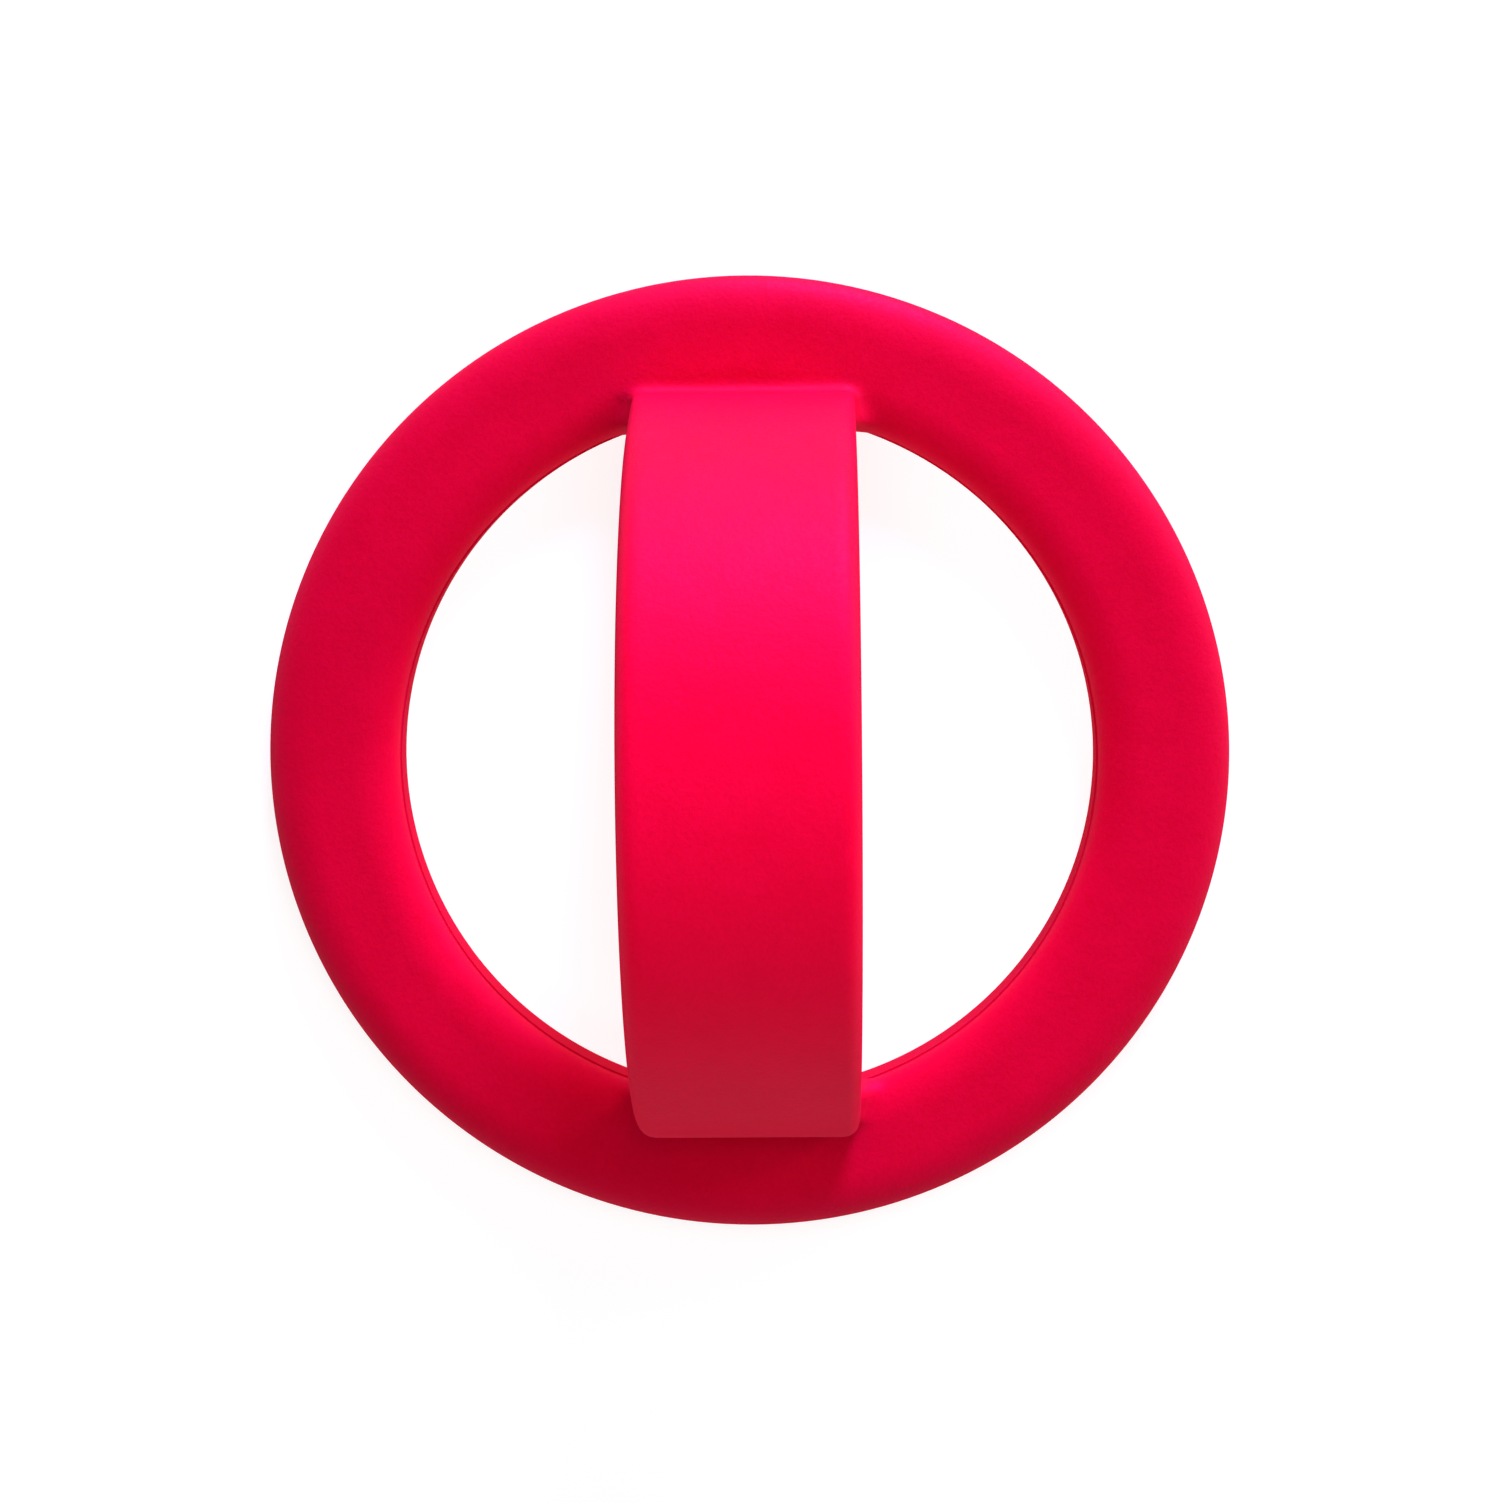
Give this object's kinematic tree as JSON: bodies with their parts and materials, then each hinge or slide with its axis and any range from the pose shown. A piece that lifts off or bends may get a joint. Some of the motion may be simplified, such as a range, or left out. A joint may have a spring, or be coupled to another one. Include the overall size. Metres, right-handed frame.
{
  "type": "magnetic phone ring grip",
  "caption": "Flat magnetic ring in soft silicone with a wide half-round finger loop arched over its open centre, for holding a phone.",
  "frame": {"origin": "centre of the contact face, at the bottom of the ring", "axes": "+Z along the ring's axis, out through the finger loop; the loop spans the hole along Y and is open along X"},
  "size_m": [0.058, 0.058, 0.0261],
  "materials": {
    "soft_silicone": "soft-touch matte crimson silicone",
    "shell_plastic": "fine-spark matte crimson polycarbonate",
    "pad_silicone": "matte deep crimson silicone, lightly grained for grip",
    "core_plastic": "glass-filled dark grey nylon",
    "magnet_nickel": "nickel plating, barrel finished",
    "yoke_steel": "rolled and stamped sheet steel",
    "tape_acrylic": "satin acrylic adhesive film"
  },
  "bodies": {
    "root": {"silicone_grip": "soft_silicone", "core_plate": "core_plastic", "steel_yoke": "yoke_steel", "magnet_01": "magnet_nickel", "magnet_02": "magnet_nickel", "magnet_03": "magnet_nickel", "magnet_04": "magnet_nickel", "magnet_05": "magnet_nickel", "magnet_06": "magnet_nickel", "magnet_07": "magnet_nickel", "magnet_08": "magnet_nickel", "magnet_09": "magnet_nickel", "magnet_10": "magnet_nickel", "magnet_11": "magnet_nickel", "magnet_12": "magnet_nickel", "magnet_13": "magnet_nickel", "magnet_14": "magnet_nickel", "magnet_15": "magnet_nickel", "magnet_16": "magnet_nickel", "magnet_tape": "tape_acrylic", "rear_shell": "shell_plastic", "pad_tape": "tape_acrylic", "contact_pad": "pad_silicone"}
  },
  "joints": []
}
